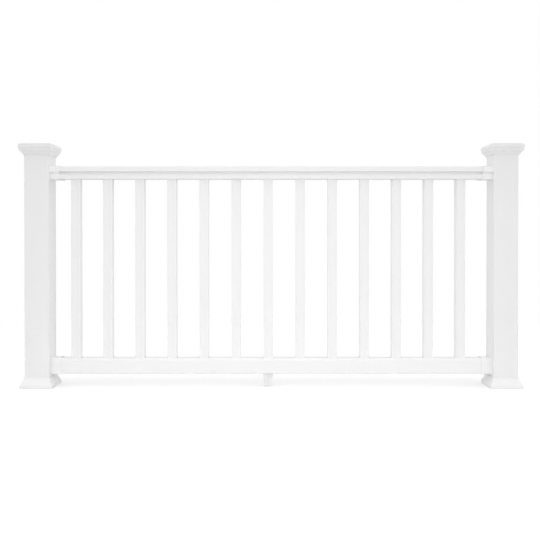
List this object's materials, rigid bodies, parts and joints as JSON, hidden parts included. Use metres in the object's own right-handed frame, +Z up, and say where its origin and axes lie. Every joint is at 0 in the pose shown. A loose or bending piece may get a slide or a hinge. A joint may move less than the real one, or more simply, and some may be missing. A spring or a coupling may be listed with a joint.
{
  "type": "vinyl railing section",
  "caption": "Straight white vinyl guard railing section: square balusters between a T-shaped top rail and a bottom rail, held by two capped and skirted hollow posts.",
  "frame": {"origin": "on the left post's bottom end face, in the middle of its outer wall's thickness and half way front to back", "axes": "+X along the railing from the left post to the right post, +Y from front to back, +Z up"},
  "size_m": [2.0684, 0.138, 1.008],
  "materials": {
    "post_vinyl": "satin extruded white vinyl",
    "rail_vinyl": "satin extruded white vinyl",
    "baluster_vinyl": "satin extruded white vinyl",
    "moulded_vinyl": "semi-gloss moulded white vinyl",
    "bracket_vinyl": "semi-gloss moulded white vinyl"
  },
  "bodies": {
    "root": {"left_post_sleeve": "post_vinyl", "left_post_cap": "moulded_vinyl", "left_base_trim": "moulded_vinyl", "top_left_bracket": "bracket_vinyl", "bottom_left_bracket": "bracket_vinyl", "right_post_sleeve": "post_vinyl", "right_post_cap": "moulded_vinyl", "right_base_trim": "moulded_vinyl", "top_right_bracket": "bracket_vinyl", "bottom_right_bracket": "bracket_vinyl", "top_rail": "rail_vinyl", "bottom_rail": "rail_vinyl", "baluster_01": "baluster_vinyl", "baluster_02": "baluster_vinyl", "baluster_03": "baluster_vinyl", "baluster_04": "baluster_vinyl", "baluster_05": "baluster_vinyl", "baluster_06": "baluster_vinyl", "baluster_07": "baluster_vinyl", "baluster_08": "baluster_vinyl", "baluster_09": "baluster_vinyl", "baluster_10": "baluster_vinyl", "baluster_11": "baluster_vinyl", "baluster_12": "baluster_vinyl", "baluster_13": "baluster_vinyl", "support_foot": "moulded_vinyl"}
  },
  "joints": []
}
